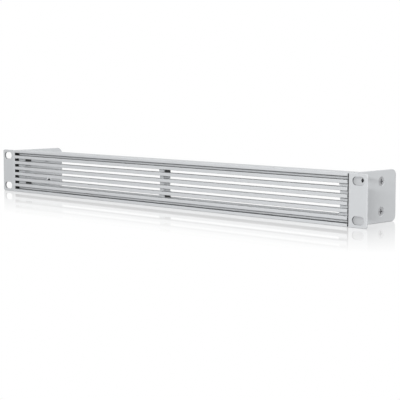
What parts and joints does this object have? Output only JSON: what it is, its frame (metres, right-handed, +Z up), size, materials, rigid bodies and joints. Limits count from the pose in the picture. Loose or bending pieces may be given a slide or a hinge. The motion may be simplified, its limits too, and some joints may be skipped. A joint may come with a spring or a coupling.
{
  "type": "vented blanking panel",
  "caption": "Slim silver rack panel with horizontal slats between two channel rails, slotted mounting ears and deep side plates; it closes one rack unit and lets air through.",
  "frame": {"origin": "centre of the four rack slots, on the rear faces of the ears, where the panel meets the rack", "axes": "+X to the right along the panel seen from the front, +Y to the rear into the rack, +Z up"},
  "size_m": [0.4826, 0.0635, 0.0436],
  "materials": {
    "bracket": "satin silver-grey powder coat on bent steel sheet",
    "cheek": "satin silver-grey powder coat on steel sheet",
    "rail": "bead-blasted and clear anodised extrusion",
    "slat": "bead-blasted and clear anodised extrusion",
    "post": "matt die casting, silver grey",
    "clip": "black moulded nylon",
    "end_pad": "black soft rubber strip",
    "screw": "bright nickel-plated steel",
    "clinch_nut": "bright zinc-plated steel"
  },
  "bodies": {
    "root": {"bottom_rail": "rail", "centre_bottom_clip": "clip", "centre_post": "post", "centre_top_clip": "clip", "left_bottom_clip": "clip", "left_bracket_screws": "screw", "left_cheek": "cheek", "left_clinch_nuts": "clinch_nut", "left_ear_bracket": "bracket", "left_end_pad": "end_pad", "left_post": "post", "left_top_clip": "clip", "right_bottom_clip": "clip", "right_bracket_screws": "screw", "right_cheek": "cheek", "right_clinch_nuts": "clinch_nut", "right_ear_bracket": "bracket", "right_end_pad": "end_pad", "right_post": "post", "right_top_clip": "clip", "slat_1": "slat", "slat_2": "slat", "slat_3": "slat", "slat_4": "slat", "slat_5": "slat", "slat_6": "slat", "top_rail": "rail"}
  },
  "joints": []
}
